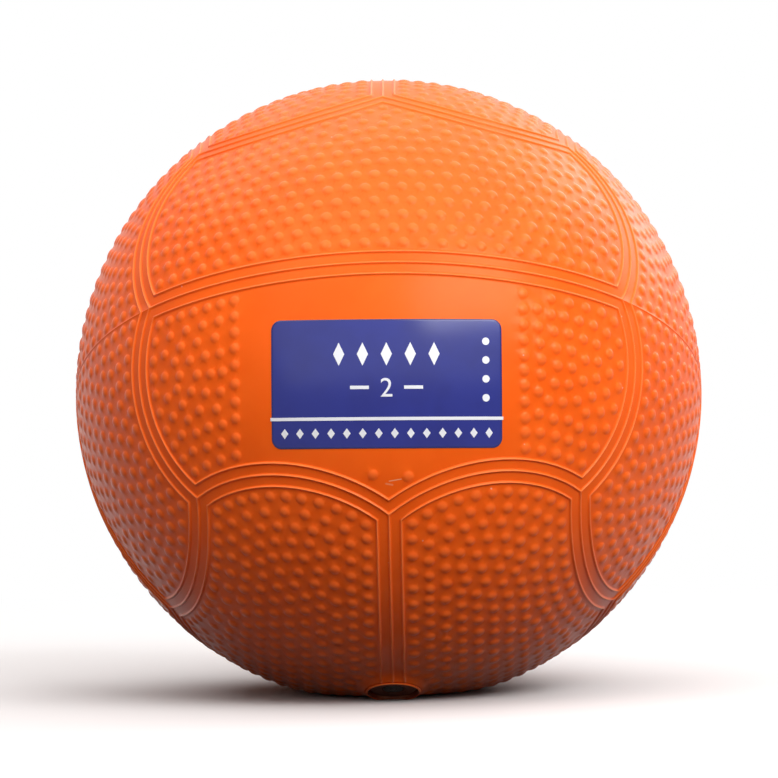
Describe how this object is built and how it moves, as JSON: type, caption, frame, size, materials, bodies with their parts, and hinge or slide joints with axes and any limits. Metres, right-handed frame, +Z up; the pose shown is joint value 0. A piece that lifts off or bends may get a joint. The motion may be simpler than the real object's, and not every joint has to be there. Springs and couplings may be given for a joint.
{
  "type": "soft shot put",
  "caption": "Soft vinyl throwing ball with raised ridges along the seams of its pebbled panels, a plugged filler boss, a front label and a loose grit fill.",
  "frame": {"origin": "middle of the flat patch that the ball stands on, straight below the ball's centre", "axes": "+Z up; -Y towards the side with the label; +X to the right as the label is read; the filler boss is low on the -Y side"},
  "size_m": [0.1508, 0.1505, 0.1476],
  "materials": {
    "orange_vinyl": "glossy soft vinyl with a pebbled grip",
    "plug_vinyl": "satin",
    "valve_rubber": "matt",
    "label_ink": "glossy transfer film",
    "iron_grit": "loose dark grit"
  },
  "bodies": {
    "root": {"skin": "orange_vinyl", "filler_plug": "plug_vinyl", "needle_valve": "valve_rubber", "label_film": "label_ink", "settled_fill": "iron_grit"}
  },
  "joints": []
}
